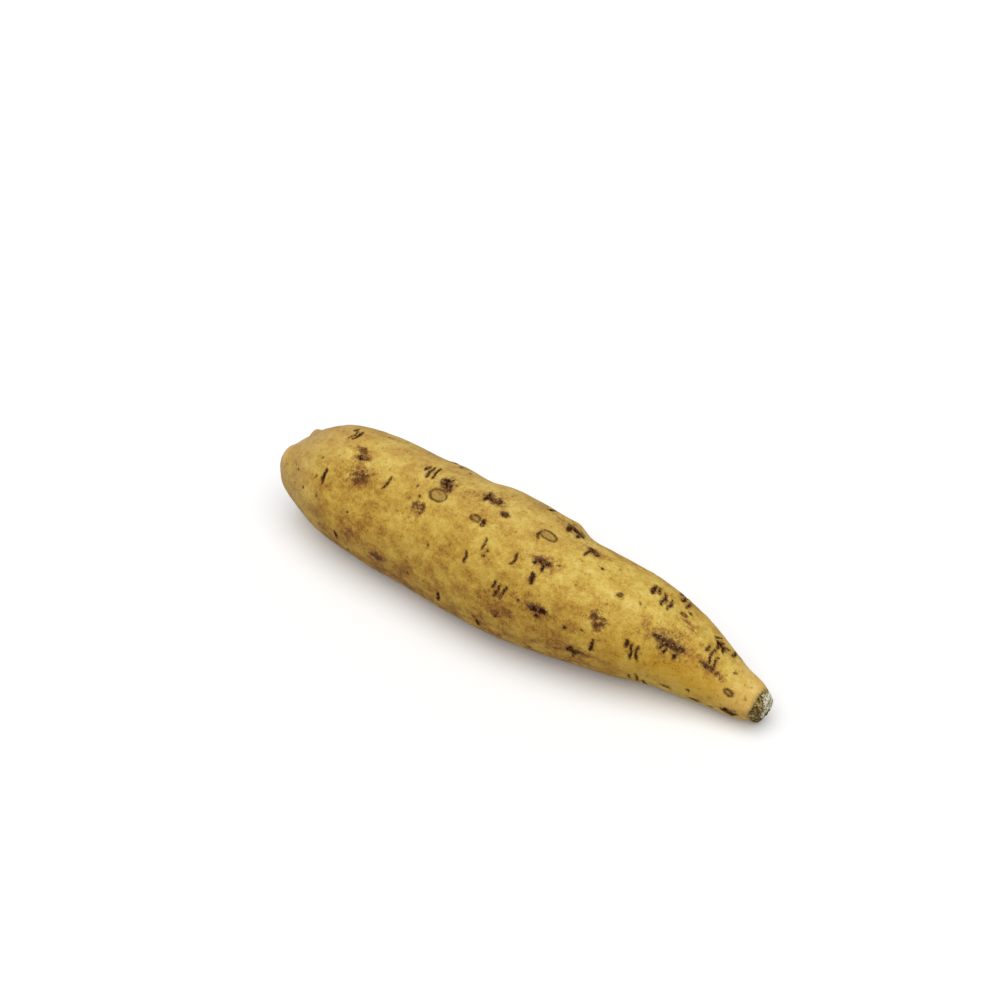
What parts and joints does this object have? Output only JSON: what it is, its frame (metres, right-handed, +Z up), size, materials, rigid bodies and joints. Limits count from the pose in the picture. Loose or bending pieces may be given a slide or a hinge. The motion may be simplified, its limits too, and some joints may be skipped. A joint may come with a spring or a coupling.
{
  "type": "white sweet potato",
  "caption": "Whole white sweet potato, a long tapering edible storage root with a blunt stem end, thin root tip and scarred tan skin, lying at rest.",
  "frame": {"origin": "middle of the box round the root, on the surface that it rests on", "axes": "+X along the root from the blunt stem end to the thin root tip, +Y sideways across it, +Z up"},
  "size_m": [0.221, 0.054, 0.0506],
  "materials": {
    "skin": "dry tan-yellow root skin with brown bruises, dark corky scars and a grey callus at the tip; matt with a soft sheen"
  },
  "bodies": {
    "root": {"sweet_potato": "skin"}
  },
  "joints": []
}
